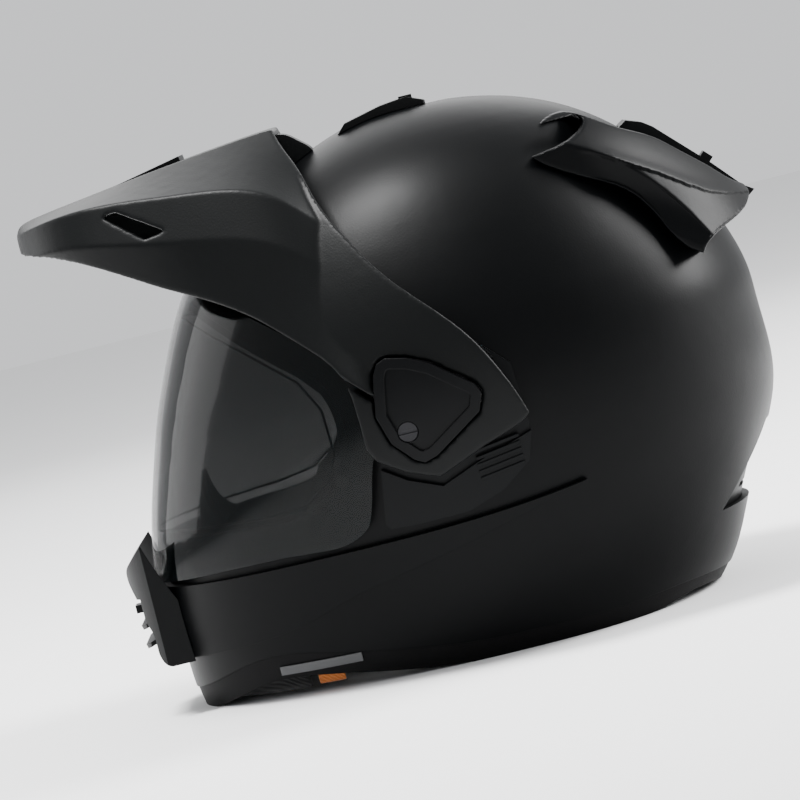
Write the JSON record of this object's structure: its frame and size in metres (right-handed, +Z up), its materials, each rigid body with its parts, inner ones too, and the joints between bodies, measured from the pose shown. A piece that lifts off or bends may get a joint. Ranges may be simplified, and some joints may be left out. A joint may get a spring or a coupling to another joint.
{
  "type": "sport helmet",
  "caption": "Full-face dual sport riding helmet with a peak, a hinged smoke face shield, chin and crown vents, rear diffusers and a D-ring strap.",
  "frame": {"origin": "middle of the bounding box at the floor, under the level lower rim", "axes": "+Z up, the helmet faces -Y, the wearer's left is +X"},
  "size_m": [0.275, 0.3254, 0.2443],
  "materials": {
    "shell_black": "matt paint",
    "trim_rubber": "soft matt",
    "foam_black": "bead foam, matt",
    "lining_fabric": "knitted lining",
    "curtain_fabric": "woven",
    "shield_smoke": "dark smoke, gloss",
    "insert_clear": "clear, gloss",
    "insert_pin": "satin",
    "plate_black": "satin",
    "peak_black": "satin",
    "pod_black": "semi-gloss",
    "vent_black": "satin",
    "screw_steel": "blackened",
    "ring_steel": "brushed",
    "webbing": "woven webbing",
    "tab_orange": "woven tape",
    "strip_grey": "satin"
  },
  "bodies": {
    "helmet": {"outer_shell": "shell_black", "rim_trim": "trim_rubber", "eps_liner": "foam_black", "chin_bar_liner": "foam_black", "comfort_liner": "lining_fabric", "cheek_pad_left": "lining_fabric", "cheek_pad_right": "lining_fabric", "neck_roll": "lining_fabric", "chin_curtain": "curtain_fabric", "eyeport_gasket": "trim_rubber", "nose_guard": "trim_rubber", "side_base_plate_left": "plate_black", "side_base_plate_right": "plate_black", "pivot_screws": "screw_steel", "peak": "peak_black", "peak_scoop": "peak_black", "peak_stay": "peak_black", "side_pod_left": "pod_black", "side_pod_right": "pod_black", "pod_screws": "screw_steel", "chin_vent_housing": "vent_black", "chin_vent_mesh": "vent_black", "crown_vent_base": "vent_black", "rear_diffuser_left": "shell_black", "rear_diffuser_right": "shell_black", "rear_centre_duct": "vent_black", "rear_exhaust_vent": "vent_black", "chin_strap_left": "webbing", "chin_strap_right": "webbing", "strap_rivets": "screw_steel", "strap_snap": "insert_pin", "release_tabs": "tab_orange", "side_strips": "strip_grey"},
    "shield": {"face_shield": "shield_smoke", "anti_fog_insert": "insert_clear", "insert_pins": "insert_pin"},
    "chin_shutter": {"chin_vent_shutter": "vent_black"},
    "crown_slider": {"crown_vent_slider": "vent_black"},
    "duct_slider": {"rear_duct_slider": "vent_black"},
    "rings": {"d_rings": "ring_steel"}
  },
  "joints": [
    {"name": "shield_hinge", "type": "hinge", "parent": "helmet", "child": "shield", "pos_m": [0, 0.016, 0.125], "axis": [-1, 0, 0], "range_deg": [0, 27]},
    {"name": "chin_shutter_slide", "type": "slide", "parent": "helmet", "child": "chin_shutter", "axis": [0, 0, -1], "range_m": [-0.0018, 0.0018]},
    {"name": "crown_slider_slide", "type": "slide", "parent": "helmet", "child": "crown_slider", "axis": [0, -1, 0], "range_m": [0, 0.007]},
    {"name": "duct_slider_slide", "type": "slide", "parent": "helmet", "child": "duct_slider", "axis": [0, -0.6988, 0.7154], "range_m": [0, 0.005]},
    {"name": "ring_hinge", "type": "hinge", "parent": "helmet", "child": "rings", "pos_m": [0.0326, 0.006, 0.0063], "axis": [0, 1, 0], "range_deg": [0, 100]}
  ]
}
